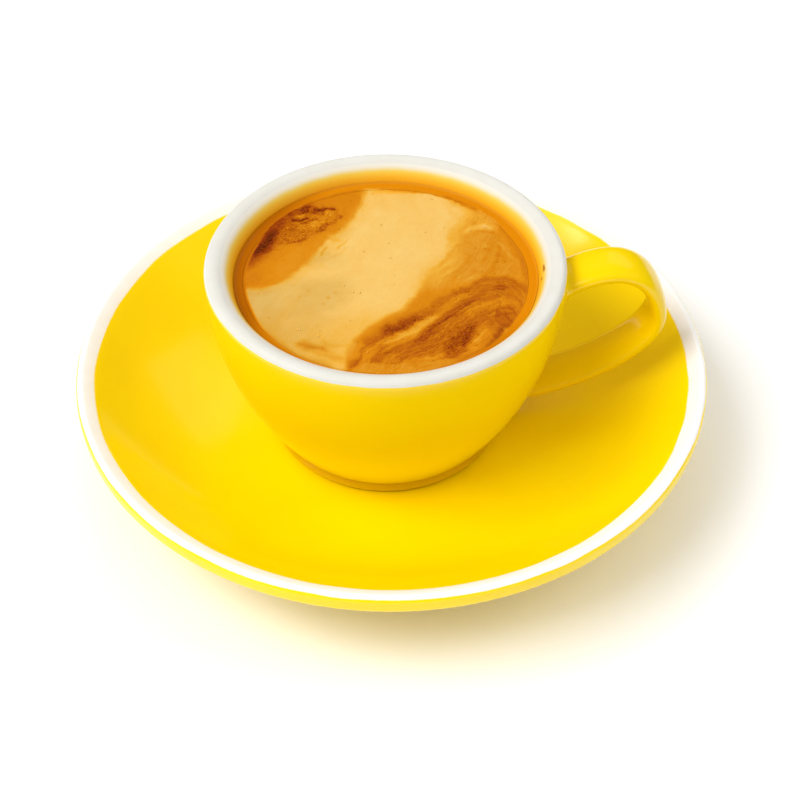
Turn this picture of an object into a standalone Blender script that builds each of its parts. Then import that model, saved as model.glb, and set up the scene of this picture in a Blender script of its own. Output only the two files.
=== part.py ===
"""A small cup of americano on its saucer: glazed stoneware with white rims, the coffee and its crema.

Metres, +Z up. The saucer stands on z = 0 with its axis on the origin, and the cup's handle points along +X.
"""

import math

import bmesh
import bpy

TURN_STEPS = 84  # sides of each turned piece
PIECE_GAP = 0.0003  # left between neighbouring pieces

# Saucer
SAUCER_RADIUS = 0.0586
SEAT_RADIUS = 0.0235  # the flat middle that the cup stands on
SEAT_HEIGHT = 0.0056
WALL_RADIUS = 0.0553  # where the glazed wall ends and the white lip begins
WALL_HEIGHT = 0.0197
WALL_POWER = 2.2  # how the wall steepens outwards
WALL_STEPS = 8
LIP_SLOPE = math.radians(33.6)  # of the lip, a little flatter than the wall that it ends
LIP_TOP_ROUND = 0.0010
LIP_UNDER_ROUND = 0.00145
LIP_SIDE = 0.0013  # height between the centres of the two rounds
LIP_STEPS = 3  # on each round
LIP_WHITE_END = math.radians(45)  # steepness of the lip where the outside glaze begins
FLOOR_THICKNESS = 0.0037
SAUCER_FOOT_RADIUS = 0.0320  # outer edge of the ring's flat face
SAUCER_FOOT_WIDTH = 0.0024
SAUCER_FOOT_ROUND = 0.0005
SAUCER_RECESS = 0.0019  # depth of the hollow inside the ring

# Cup
CUP_SHIFT = -0.0010  # the cup stands this far off the saucer's axis, away from its handle
CUP_RADIUS = 0.0322
CUP_HEIGHT = 0.0377
WAIST_DROP = 0.0030  # below the rim's crest, where the wall begins to draw in
BOWL_FOOT_RADIUS = 0.0218  # of the bowl where it meets the foot ring
BOWL_FOOT_HEIGHT = 0.0021
BOWL_STEPS = 10
RIM_CREST_RADIUS = 0.0310
RIM_OUTER_DROP = 0.0014
RIM_INNER_RADIUS = 0.0269  # the mouth, just under the rounded rim
RIM_INNER_DROP = 0.0054
RIM_STEPS = 4
RIM_WHITE_OUTSIDE = 0.0008  # below the crest, where the outside glaze begins
RIM_WHITE_INSIDE = 0.0014  # below the crest, where the inside glaze begins
CUP_FOOT_RADIUS = 0.0223
CUP_FOOT_WAIST = 0.0214  # the ring's narrower neck under the bowl
CUP_FOOT_WIDTH = 0.0036
CUP_FOOT_ROUND = 0.0005
CUP_RECESS = 0.0016
CUP_FLOOR = 0.0052  # height of the inside's bottom above the foot
INSIDE_FLAT_RADIUS = 0.0120
INSIDE_STEPS = 7
INSIDE_CLOSENESS = 1.6  # how much closer the inside's points lie towards the floor
INSIDE_FALL_POWER = 3.0  # how late the inside draws in below the mouth
INSIDE_ROUND_POWER = 0.6  # how round it turns into the floor
SHARP_ANGLE = math.radians(40)  # corners steeper than this stay sharp

# Handle: an oval strap along a loop of two Bezier arcs, measured from the cup's axis and foot
STRAP_WIDTH = 0.0090
STRAP_THICKNESS = 0.0033
STRAP_SQUARENESS = 2.5  # 2 is an ellipse
STRAP_SIDES = 16
LOOP_STEPS = 14  # along each arc
LOOP_START = (0.0300, 0.0300)
LOOP_START_ANGLE = math.radians(35)
LOOP_START_PULL = 0.0197
LOOP_OUTERMOST = (0.0499, 0.0238)
LOOP_UPPER_PULL = 0.0034
LOOP_LOWER_PULL = 0.0078
LOOP_END = (0.0220, 0.0060)
LOOP_END_ANGLE = math.radians(3)
LOOP_END_PULL = 0.0120
JOINT_ROUND = 0.0015  # of the fillet between the strap and the bowl

# Drink
LEVEL_DROP = 0.0038  # from the rim's crest down to the drink
CREMA_RADIUS = 0.0256  # the foam stops short of the wall, and a ring of coffee shows round it
CREMA_THICKNESS = 0.0020

GLAZE_YELLOW = (0.95, 0.66, 0.0, 1.0)
RIM_WHITE = (0.90, 0.89, 0.85, 1.0)
COFFEE_BROWN = (0.045, 0.014, 0.004, 1.0)
CREMA_TAN = (0.68, 0.36, 0.10, 1.0)


def clear_scene():
    for thing in list(bpy.data.objects):
        bpy.data.objects.remove(thing, do_unlink=True)


def material(name, colour, roughness):
    made = bpy.data.materials.new(name)
    made.use_nodes = True
    made.diffuse_color = colour
    shader = made.node_tree.nodes["Principled BSDF"]
    shader.inputs["Base Color"].default_value = colour
    shader.inputs["Roughness"].default_value = roughness
    shader.inputs["Metallic"].default_value = 0.0
    return made


def place(name, shape, materials):
    """Makes an object of the bmesh, shaded smooth with its real corners kept sharp."""
    mesh = bpy.data.meshes.new(name)
    shape.to_mesh(mesh)
    shape.free()
    for each in materials:
        mesh.materials.append(each)
    mesh.shade_smooth()
    mesh.set_sharp_from_angle(angle=SHARP_ANGLE)
    made = bpy.data.objects.new(name, mesh)
    bpy.context.scene.collection.objects.link(made)
    return made


def turn(profile):
    """Spins a profile of (radius, height) points, from the axis over the outside and back, into a closed body."""
    shape = bmesh.new()
    points = [shape.verts.new((radius, 0, height)) for radius, height in profile]
    edges = [shape.edges.new(pair) for pair in zip(points, points[1:])]
    bmesh.ops.spin(
        shape,
        geom=points + edges,
        cent=(0, 0, 0),
        axis=(0, 0, 1),
        angle=math.tau,
        steps=TURN_STEPS,
        use_merge=True,
    )
    bmesh.ops.remove_doubles(shape, verts=shape.verts, dist=1e-6)
    bmesh.ops.recalc_face_normals(shape, faces=shape.faces)
    return shape


def arc(centre, reach, start, stop, steps):
    """Points of an elliptical arc, both ends included. reach holds its half-axes."""
    angles = [start + (stop - start) * step / steps for step in range(steps + 1)]
    return [
        (centre[0] + reach[0] * math.cos(angle), centre[1] + reach[1] * math.sin(angle))
        for angle in angles
    ]


def between_shares(first, last, shares):
    return [first + (last - first) * share for share in shares]


def between(first, last, steps):
    return between_shares(first, last, [step / steps for step in range(steps + 1)])


def saucer_top(radius):
    run = max(radius - SEAT_RADIUS, 0) / (WALL_RADIUS - SEAT_RADIUS)
    return SEAT_HEIGHT + (WALL_HEIGHT - SEAT_HEIGHT) * run**WALL_POWER


def foot_ring(outer, width, round_off, top_outer, recess):
    """The ring's section from its outer top, down, under and up to the recess, ending on the axis."""
    inner = outer - width
    return [
        top_outer,
        (outer + round_off, round_off),
        (outer, 0),
        (inner, 0),
        (inner - round_off, round_off),
        (inner - recess, recess),
        (0, recess),
    ]


def make_saucer(materials):
    slope = LIP_SLOPE
    top_radius = SAUCER_RADIUS - LIP_TOP_ROUND
    top_height = (
        WALL_HEIGHT + (top_radius - WALL_RADIUS) * math.tan(slope) - LIP_TOP_ROUND / math.cos(slope)
    )
    top_centre = (top_radius, top_height)
    under_centre = (SAUCER_RADIUS - LIP_UNDER_ROUND, top_height - LIP_SIDE)
    profile = [(0, SEAT_HEIGHT)]
    profile += [(radius, saucer_top(radius)) for radius in between(SEAT_RADIUS, WALL_RADIUS, WALL_STEPS)]
    profile += arc(top_centre, (LIP_TOP_ROUND,) * 2, math.pi / 2 + slope, LIP_WHITE_END, LIP_STEPS)
    profile += arc(top_centre, (LIP_TOP_ROUND,) * 2, LIP_WHITE_END, 0, 1)[1:]
    profile += arc(under_centre, (LIP_UNDER_ROUND,) * 2, 0, slope - math.pi / 2, LIP_STEPS)
    lip_radius, lip_height = profile[-1]
    lip_thickness = saucer_top(lip_radius) - lip_height
    ring_top = SAUCER_FOOT_RADIUS + 2 * SAUCER_FOOT_ROUND
    for radius in between(lip_radius, ring_top, WALL_STEPS)[1:]:
        share = (lip_radius - radius) / (lip_radius - ring_top)
        thickness = lip_thickness + (FLOOR_THICKNESS - lip_thickness) * share
        profile.append((radius, saucer_top(radius) - thickness))
    profile += foot_ring(
        SAUCER_FOOT_RADIUS, SAUCER_FOOT_WIDTH, SAUCER_FOOT_ROUND, profile.pop(), SAUCER_RECESS
    )
    shape = turn(profile)
    for face in shape.faces:
        middle = face.calc_center_median()
        if math.hypot(middle.x, middle.y) > WALL_RADIUS and face.normal.z > math.cos(LIP_WHITE_END):
            face.material_index = 1
    return place("saucer", shape, materials)


def bowl_radius(height):
    """The bowl's outside: upright below the rim, then drawn in by a parabola down to the foot."""
    waist = CUP_HEIGHT - WAIST_DROP
    fall = max(waist - height, 0) / (waist - BOWL_FOOT_HEIGHT)
    return CUP_RADIUS - (CUP_RADIUS - BOWL_FOOT_RADIUS) * fall**2


def inside_radius(height):
    """The cup's inside: a flat floor rounding up to the mouth, and the round rim opening out above it."""
    mouth = CUP_HEIGHT - RIM_INNER_DROP
    if height > mouth:
        share = (height - mouth) / RIM_INNER_DROP
        return RIM_CREST_RADIUS - (RIM_CREST_RADIUS - RIM_INNER_RADIUS) * math.sqrt(1 - share**2)
    fall = (mouth - height) / (mouth - CUP_FLOOR)
    spread = (1 - fall**INSIDE_FALL_POWER) ** INSIDE_ROUND_POWER
    return INSIDE_FLAT_RADIUS + (RIM_INNER_RADIUS - INSIDE_FLAT_RADIUS) * spread


def inside_profile():
    """Points up the cup's inside from its floor to the rim's crest, closer together towards the floor."""
    mouth = CUP_HEIGHT - RIM_INNER_DROP
    shares = [share**INSIDE_CLOSENESS for share in between(0, 1, INSIDE_STEPS)]
    heights = between_shares(CUP_FLOOR, mouth, shares)
    profile = [(inside_radius(height), height) for height in heights[:-1]]
    reach = (RIM_CREST_RADIUS - RIM_INNER_RADIUS, RIM_INNER_DROP)
    return profile + arc((RIM_CREST_RADIUS, mouth), reach, math.pi, math.pi / 2, RIM_STEPS)


def lining(low, high):
    """The part of the inside between two heights, drawn in by the gap between pieces."""
    profile = inside_profile()
    drawn = [(INSIDE_FLAT_RADIUS, CUP_FLOOR + PIECE_GAP)]
    for before, point, after in zip(profile, profile[1:], profile[2:]):
        along = (after[0] - before[0], after[1] - before[1])
        length = math.hypot(*along)
        inward = (-along[1] / length, along[0] / length)
        drawn.append((point[0] + inward[0] * PIECE_GAP, point[1] + inward[1] * PIECE_GAP))
    ends = {}
    for limit in (low, high):
        for before, after in zip(drawn, drawn[1:]):
            if before[1] <= limit <= after[1]:
                share = (limit - before[1]) / (after[1] - before[1])
                ends[limit] = (before[0] + (after[0] - before[0]) * share, limit)
    return [ends[low]] + [point for point in drawn if low < point[1] < high] + [ends[high]]


def make_cup_body(materials):
    rim_top = CUP_HEIGHT
    outer_centre = (RIM_CREST_RADIUS, rim_top - RIM_OUTER_DROP)
    outer_reach = (CUP_RADIUS - RIM_CREST_RADIUS, RIM_OUTER_DROP)
    profile = [(0, CUP_FLOOR)]
    profile += inside_profile()
    profile += arc(outer_centre, outer_reach, math.pi / 2, 0, RIM_STEPS)[1:]
    waist = CUP_HEIGHT - WAIST_DROP
    profile += [(bowl_radius(height), height) for height in between(waist, BOWL_FOOT_HEIGHT, BOWL_STEPS)]
    profile += foot_ring(
        CUP_FOOT_RADIUS - CUP_FOOT_ROUND,
        CUP_FOOT_WIDTH,
        CUP_FOOT_ROUND,
        (CUP_FOOT_WAIST, BOWL_FOOT_HEIGHT - CUP_FOOT_ROUND),
        CUP_RECESS,
    )
    shape = turn(profile)
    for face in shape.faces:
        middle = face.calc_center_median()
        outside = math.hypot(middle.x, middle.y) > RIM_CREST_RADIUS
        drop = RIM_WHITE_OUTSIDE if outside else RIM_WHITE_INSIDE
        if middle.z > rim_top - drop:
            face.material_index = 1
    return place("cup", shape, materials)


def bezier(ends, pulls, share):
    """A point of the cubic Bezier between two ends, each with its pulling point."""
    rest = 1 - share
    weights = (rest**3, 3 * rest**2 * share, 3 * rest * share**2, share**3)
    controls = (ends[0], pulls[0], pulls[1], ends[1])
    return tuple(sum(weight * point[axis] for weight, point in zip(weights, controls)) for axis in (0, 1))


def loop_path():
    """The handle's centre line as (distance from the cup's axis, height) points, from the rim to the foot."""
    start_pull = (
        LOOP_START[0] + LOOP_START_PULL * math.cos(LOOP_START_ANGLE),
        LOOP_START[1] + LOOP_START_PULL * math.sin(LOOP_START_ANGLE),
    )
    end_pull = (
        LOOP_END[0] + LOOP_END_PULL * math.cos(LOOP_END_ANGLE),
        LOOP_END[1] + LOOP_END_PULL * math.sin(LOOP_END_ANGLE),
    )
    upper = (LOOP_OUTERMOST[0], LOOP_OUTERMOST[1] + LOOP_UPPER_PULL)
    lower = (LOOP_OUTERMOST[0], LOOP_OUTERMOST[1] - LOOP_LOWER_PULL)
    shares = between(0, 1, LOOP_STEPS)
    path = [bezier((LOOP_START, LOOP_OUTERMOST), (start_pull, upper), share) for share in shares]
    path += [bezier((LOOP_OUTERMOST, LOOP_END), (lower, end_pull), share) for share in shares[1:]]
    return path


def joint_flare(distance, height):
    """How much the strap grows all round where it nears the bowl, so that it meets it in a fillet."""
    clear = distance - bowl_radius(height)
    if clear >= JOINT_ROUND:
        return 0.0
    closeness = min(JOINT_ROUND - clear, JOINT_ROUND)
    return JOINT_ROUND - math.sqrt(JOINT_ROUND**2 - closeness**2)


def strap_ring(shape, path, index):
    """One oval ring of the strap, square to its path."""
    before = path[max(index - 1, 0)]
    after = path[min(index + 1, len(path) - 1)]
    along = (after[0] - before[0], after[1] - before[1])
    length = math.hypot(*along)
    outward = (-along[1] / length, along[0] / length)
    distance, height = path[index]
    flare = joint_flare(distance, height)
    half_width = STRAP_WIDTH / 2 + flare
    half_thickness = STRAP_THICKNESS / 2 + flare
    ring = []
    for side in range(STRAP_SIDES):
        angle = math.tau * side / STRAP_SIDES
        across = math.copysign(abs(math.cos(angle)) ** (2 / STRAP_SQUARENESS), math.cos(angle))
        off = math.copysign(abs(math.sin(angle)) ** (2 / STRAP_SQUARENESS), math.sin(angle))
        offset = half_thickness * off
        point = (distance + outward[0] * offset, half_width * across, height + outward[1] * offset)
        ring.append(shape.verts.new(point))
    return ring


def make_handle(materials):
    shape = bmesh.new()
    path = loop_path()
    rings = [strap_ring(shape, path, index) for index in range(len(path))]
    for ring, following in zip(rings, rings[1:]):
        for side in range(STRAP_SIDES):
            onward = (side + 1) % STRAP_SIDES
            shape.faces.new((ring[side], ring[onward], following[onward], following[side]))
    shape.faces.new(rings[0])
    shape.faces.new(rings[-1])
    bmesh.ops.recalc_face_normals(shape, faces=shape.faces)
    return place("handle", shape, materials)


def make_cup(materials):
    """The bowl, its foot ring and its handle are one piece of stoneware."""
    cup = make_cup_body(materials)
    handle = make_handle(materials[:1])
    union = cup.modifiers.new("handle", "BOOLEAN")
    union.operation = "UNION"
    union.solver = "EXACT"
    union.object = handle
    handle.hide_render = True
    handle.display_type = "WIRE"
    handle.parent = cup
    cup.location = (CUP_SHIFT, 0, SEAT_HEIGHT + PIECE_GAP)
    return cup


def make_coffee(cup, materials):
    """The liquid up to its level, hollowed where the crema floats in it."""
    level = CUP_HEIGHT - LEVEL_DROP
    bottom = CUP_FLOOR + PIECE_GAP
    hollow = level - CREMA_THICKNESS - PIECE_GAP
    edge = CREMA_RADIUS + PIECE_GAP
    profile = [(0, bottom), *lining(bottom, level), (edge, level), (edge, hollow), (0, hollow)]
    coffee = place("coffee", turn(profile[::-1]), materials)
    coffee.parent = cup


def make_crema(cup, materials):
    level = CUP_HEIGHT - LEVEL_DROP
    bottom = level - CREMA_THICKNESS
    profile = [(0, level), (CREMA_RADIUS, level), (CREMA_RADIUS, bottom), (0, bottom)]
    crema = place("crema", turn(profile), materials)
    crema.parent = cup


def main():
    clear_scene()
    glaze = material("glaze_yellow", GLAZE_YELLOW, 0.12)
    white = material("rim_white", RIM_WHITE, 0.35)
    make_saucer([glaze, white])
    cup = make_cup([glaze, white])
    make_coffee(cup, [material("coffee_brown", COFFEE_BROWN, 0.10)])
    make_crema(cup, [material("crema_tan", CREMA_TAN, 0.35)])


main()
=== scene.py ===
import math

import bpy
import numpy as np
from mathutils import Matrix, Vector


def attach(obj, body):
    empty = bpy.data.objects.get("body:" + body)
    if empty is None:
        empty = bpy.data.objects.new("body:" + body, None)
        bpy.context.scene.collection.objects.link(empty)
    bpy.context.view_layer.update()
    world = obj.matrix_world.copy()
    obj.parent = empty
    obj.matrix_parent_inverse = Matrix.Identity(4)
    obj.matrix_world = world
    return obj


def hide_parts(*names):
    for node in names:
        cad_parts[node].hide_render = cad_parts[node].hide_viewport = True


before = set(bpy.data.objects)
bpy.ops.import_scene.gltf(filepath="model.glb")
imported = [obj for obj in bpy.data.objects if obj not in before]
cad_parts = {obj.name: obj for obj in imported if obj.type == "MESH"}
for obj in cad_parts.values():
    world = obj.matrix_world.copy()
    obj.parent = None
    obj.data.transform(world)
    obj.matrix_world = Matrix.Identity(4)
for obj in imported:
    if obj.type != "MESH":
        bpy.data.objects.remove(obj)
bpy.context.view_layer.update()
mm = 0.001
print("cup of americano: frame loaded")


# Camera

cameraSetup = {
    "place": (-10.96, -209.11, 215.55),  # mm
    "heading": 3.43,  # degrees from +Y towards +X
    "pitch": 44.7,  # degrees down
    "roll": 0.07,
    "lens": 68.625,
    "sensor": 36,
    "near": 0.01,  # m
}


def makeCamera(setup):
    heading, pitch, roll = (math.radians(setup[key]) for key in ("heading", "pitch", "roll"))
    flat = math.cos(pitch)
    ahead = Vector((math.sin(heading) * flat, math.cos(heading) * flat, -math.sin(pitch)))
    right = ahead.cross(Vector((0, 0, 1))).normalized()
    up = right.cross(ahead)
    across = right * math.cos(roll) + up * math.sin(roll)
    upright = up * math.cos(roll) - right * math.sin(roll)
    data = bpy.data.cameras.new("tableView")
    data.lens = setup["lens"]
    data.sensor_width = setup["sensor"]
    data.clip_start = setup["near"]
    camera = bpy.data.objects.new("tableView", data)
    turn = Matrix((across, upright, -ahead)).transposed().to_4x4()
    camera.matrix_world = Matrix.Translation(Vector(setup["place"]) * mm) @ turn
    bpy.context.scene.collection.objects.link(camera)
    bpy.context.scene.camera = camera


makeCamera(cameraSetup)


# Light and floor

lightSetup = {
    "sky": 0.58,  # even light from all round
    # azimuth from +Y towards +X and height in degrees, distance and size in mm, watts,
    # and whether it is seen in the glaze
    "softboxes": {
        "keySoftbox": (-114, 48, 900, (620, 450), 1, True),
        "keyFill": (-110, 55, 950, (620, 450), 5.5, False),
        "smallSoftbox": (-92, 44, 900, (130, 85), 0.2, True),
        "backSoftbox": (29, 40, 900, (480, 330), 0.2, True),
        "backFill": (0, 45, 900, (450, 450), 0.6, False),
        "frontFill": (180, 62, 900, (450, 450), 0.35, False),
        "rightFill": (95, 45, 900, (450, 450), 1.2, False),
    },
}


def fromAngles(azimuth, height, distance):
    azimuth, height = math.radians(azimuth), math.radians(height)
    level = math.cos(height) * distance
    return Vector((math.sin(azimuth) * level, math.cos(azimuth) * level, math.sin(height) * distance))


def softbox(name, azimuth, height, distance, size, power, seen):
    data = bpy.data.lights.new(name, "AREA")
    data.shape = "RECTANGLE"
    data.size = size[0] * mm
    data.size_y = size[1] * mm
    data.energy = power
    lamp = bpy.data.objects.new(name, data)
    lamp.location = fromAngles(azimuth, height, distance) * mm
    lamp.rotation_euler = (-lamp.location).to_track_quat("-Z", "Y").to_matrix().to_euler()
    lamp.visible_glossy = seen
    bpy.context.scene.collection.objects.link(lamp)


def lightScene(setup):
    world = bpy.data.worlds.new("paleRoom")
    bpy.context.scene.world = world
    world.use_nodes = True
    background = world.node_tree.nodes["Background"]
    background.inputs["Color"].default_value = (1, 1, 1, 1)
    background.inputs["Strength"].default_value = setup["sky"]
    world.cycles_visibility.glossy = False
    for name, values in setup["softboxes"].items():
        softbox(name, *values)
    bpy.context.scene.view_settings.view_transform = "Standard"
    bpy.context.scene.view_settings.look = "None"


lightScene(lightSetup)


# Shader building: a Link wraps an output socket, and arithmetic on it adds Math nodes

class Link:
    def __init__(self, finish, socket):
        self.finish = finish
        self.socket = socket

    def maths(self, operation, first, second):
        return self.finish.node("ShaderNodeMath", {"operation": operation}, {0: first, 1: second})

    def __add__(self, other):
        return self.maths("ADD", self, other)

    def __sub__(self, other):
        return self.maths("SUBTRACT", self, other)

    def __rsub__(self, other):
        return self.maths("SUBTRACT", other, self)

    def __mul__(self, other):
        return self.maths("MULTIPLY", self, other)

    __radd__ = __add__
    __rmul__ = __mul__


class Finish:
    def __init__(self, name):
        self.material = bpy.data.materials.new(name)
        self.material.use_nodes = True
        self.tree = self.material.node_tree
        self.shader = self.tree.nodes["Principled BSDF"]

    def node(self, kind, settings=None, sockets=None, output=0):
        made = self.tree.nodes.new(kind)
        for key, value in (settings or {}).items():
            if key == "stops":
                self.setStops(made.color_ramp, value)
            else:
                setattr(made, key, value)
        self.fill(made, sockets or {})
        return Link(self, made.outputs[output])

    def fill(self, node, sockets):
        for key, value in sockets.items():
            if isinstance(value, Link):
                self.tree.links.new(value.socket, node.inputs[key])
            else:
                node.inputs[key].default_value = value

    def setStops(self, ramp, stops):
        while len(ramp.elements) < len(stops):
            ramp.elements.new(0.5)
        for element, (place, colour) in zip(ramp.elements, stops):
            element.position = place
            element.color = colour

    def place(self):  # object coordinates in millimetres
        local = self.node("ShaderNodeTexCoord", output=3)
        return self.vector("SCALE", {0: local, 3: 1 / mm})

    def vector(self, operation, sockets, output=0):
        return self.node("ShaderNodeVectorMath", {"operation": operation}, sockets, output)

    def ramp(self, stops, value):
        return self.node("ShaderNodeValToRGB", {"stops": stops}, {0: value})

    def noise(self, size, detail=3, roughness=0.5):
        sockets = {"Vector": self.place(), "Scale": 1 / size, "Detail": detail, "Roughness": roughness}
        return self.node("ShaderNodeTexNoise", None, sockets)

    def attribute(self, name):
        return self.node("ShaderNodeAttribute", {"attribute_name": name}, None, 2)

    def spread(self, value, low, high, first=0, last=1):  # smooth step between two limits
        sockets = {0: value, 1: low, 2: high, 3: first, 4: last}
        return self.node("ShaderNodeMapRange", {"interpolation_type": "SMOOTHSTEP"}, sockets)

    def blend(self, factor, first, second):
        return self.node("ShaderNodeMix", {"data_type": "RGBA"}, {0: factor, 6: first, 7: second}, 2)

    def bump(self, height, strength, distance, normal=None):
        sockets = {"Height": height, "Strength": strength, "Distance": distance}
        if normal:
            sockets["Normal"] = normal
        return self.node("ShaderNodeBump", None, sockets)

    def set(self, sockets):
        self.fill(self.shader, sockets)
        return self.material


# Mesh building, in millimetres

def makePiece(name, points, faces, material, attributes=None, crisp=False):
    mesh = bpy.data.meshes.new(name)
    points = np.asarray(points, float)
    faces = np.asarray(faces)
    mesh.vertices.add(len(points))
    mesh.vertices.foreach_set("co", (points * mm).ravel())
    corners = faces.shape[1]
    mesh.loops.add(faces.size)
    mesh.loops.foreach_set("vertex_index", faces.ravel())
    mesh.polygons.add(len(faces))
    mesh.polygons.foreach_set("loop_start", np.arange(len(faces)) * corners)
    mesh.update(calc_edges=True)
    mesh.validate()
    mesh.shade_smooth()
    if crisp:  # a liquid's sides stay out of the shading of its surface
        mesh.polygons.foreach_set("use_smooth", [face.normal.z > 0.3 for face in mesh.polygons])
    for key, values in (attributes or {}).items():
        mesh.attributes.new(key, "FLOAT", "POINT").data.foreach_set("value", np.asarray(values, float))
    mesh.materials.append(material)
    piece = bpy.data.objects.new(name, mesh)
    bpy.context.scene.collection.objects.link(piece)
    return piece


def runAlong(line):
    # Length along a line up to each of its points
    return np.concatenate([[0], np.cumsum(np.hypot(*np.diff(line, axis=0).T))])


def ringFaces(rings, turns):
    # Triangles of a body of closed rings, each joined to the next, with a middle point at both ends
    here = 1 + np.arange(turns)
    after = 1 + (np.arange(turns) + 1) % turns
    faces = [np.stack([np.zeros(turns, int), here, after], 1)]
    for ring in range(rings - 1):
        a, b = here + ring * turns, after + ring * turns
        faces += [np.stack([a, a + turns, b + turns], 1), np.stack([a, b + turns, b], 1)]
    base = (rings - 1) * turns
    faces.append(np.stack([here + base, np.full(turns, 1 + rings * turns), after + base], 1))
    return np.concatenate(faces)


def ringBody(profile, turns):
    # Points and triangles of a body of (radius, height) rings, axis to axis and top side first. Both
    # are numbers, or have a value for each of the ring's points
    angles = np.arange(turns) * math.tau / turns
    points = [[[0, 0, profile[0][1]]]]
    for radius, height in profile[1:-1]:
        height = np.zeros(turns) + height
        points.append(np.stack([radius * np.cos(angles), radius * np.sin(angles), height], 1))
    points.append([[0, 0, profile[-1][1]]])
    return np.concatenate(points), ringFaces(len(profile) - 2, turns)


def spreadRuns(profile, turns):
    # Length along the profile at each point of its body
    run = runAlong(profile)
    return np.concatenate([run[:1], np.repeat(run[1:-1], turns), run[-1:]])


def arc(centre, reach, start, stop, steps):
    # Points (radius, height) along part of an ellipse
    angles = np.linspace(start, stop, steps + 1)
    return [(centre[0] + reach[0] * math.cos(a), centre[1] + reach[1] * math.sin(a)) for a in angles]


def runAt(profile, test):
    # Length along the profile to the last point before one that passes the test
    run = 0.0
    for before, point in zip(profile, profile[1:]):
        if test(point):
            return run
        run += math.dist(before, point)
    return run


def smooth(low, high, values):
    share = np.clip((values - low) / (high - low), 0, 1)
    return share * share * (3 - 2 * share)


def latticeNoise(x, y, size, seed):
    # Smooth noise from -1 to 1 with cells of the given size, repeating after a number of cells
    cells, startX, startY = 64, 17.3, 41.7
    table = np.random.default_rng(seed).uniform(-1, 1, (cells, cells))
    u, v = x / size + startX, y / size + startY
    column, row = np.floor(u).astype(int), np.floor(v).astype(int)
    p, q = u - column, v - row
    p, q = p * p * (3 - 2 * p), q * q * (3 - 2 * q)
    edges = []
    for j in (0, 1):
        left, right = (table[(column + i) % cells, (row + j) % cells] for i in (0, 1))
        edges.append(left * (1 - p) + right * p)
    return edges[0] * (1 - q) + edges[1] * q


def layeredNoise(x, y, size, seed, layers=3):
    total = sum(latticeNoise(x, y, size / 2**step, seed + step) / 2**step for step in range(layers))
    return total / (2 - 2 ** (1 - layers))


# Floor

floorSetup = {
    "half": 1600, "grain": 30, "roughness": 0.75, "specular": 0.1,
    "colour": (0.95, 0.95, 0.945, 1), "shade": (0.93, 0.93, 0.925, 1),
}


def makeFloor(setup):
    finish = Finish("paleTable")
    colour = finish.blend(finish.noise(setup["grain"]), setup["colour"], setup["shade"])
    material = finish.set({
        "Base Color": colour, "Roughness": setup["roughness"], "Specular IOR Level": setup["specular"],
    })
    half = setup["half"]
    points = [(-half, -half, 0), (half, -half, 0), (half, half, 0), (-half, half, 0)]
    floor = makePiece("floor", points, [(0, 1, 2, 3)], material)


makeFloor(floorSetup)
print("camera, light and floor are set")


# Glaze and white rims of the cup and saucer

glazeSetup = {
    # glaze, glaze where it has run thicker, bare rim and its shade
    # The cup's tones are set darker than the saucer's, though both are one glaze: painted shade on the cup
    # and painted light on the saucer's white lip
    "cup": [(0.89, 0.615, 0, 1), (0.88, 0.60, 0, 1), (0.69, 0.675, 0.615, 1), (0.67, 0.65, 0.585, 1)],
    "saucer": [(0.985, 0.72, 0, 1), (0.975, 0.695, 0, 1), (0.92, 0.91, 0.88, 1), (0.90, 0.885, 0.845, 1)],
    "paintedBounceTone": (0.94, 0.75, 0, 1),  # towards the bowl's bottom: painted bounce light from the saucer
    # painted shade on the foot ring, under the bowl's overhang
    "paintedFootShadeTone": (0.74, 0.45, 0, 1),
    "glazeRoughness": 0.15, "whiteRoughness": 0.38, "cloudyRoughness": 0.03, "specular": 0.45,
    # Sizes in mm
    "cloud": 14, "fray": 0.9, "whiteMottle": 3, "wallDepthFray": 4, "wave": 5, "grain": 0.35, "dripEdge": 0.5,
    "waveDepth": 0.00004, "grainDepth": 0.00002,  # m
    # Dried drops of drink on the inside wall: middle in mm, and one over their reach each way
    "drips": [((26.95, -2.3, 41.95), (1.7, 0.85, 3)), ((26.4, -4.6, 41.4), (2.6, 1.9, 3.8))],
    "dripColour": (0.40, 0.12, 0.004, 1),
    # The inside wall, from the white rim down to the drink; its deepening to orange near the drink is partly
    # thicker glaze and partly painted bounce light from the coffee
    "wall": [
        (0, (0.745, 0.725, 0.66, 1)), (0.15, (0.75, 0.70, 0.56, 1)), (0.27, (0.79, 0.63, 0.25, 1)),
        (0.37, (0.83, 0.56, 0.07, 1)), (0.48, (0.86, 0.52, 0.035, 1)), (0.65, (0.87, 0.45, 0.014, 1)),
        (0.85, (0.86, 0.40, 0.005, 1)), (1, (0.82, 0.34, 0.003, 1)),
    ],
}


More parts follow.
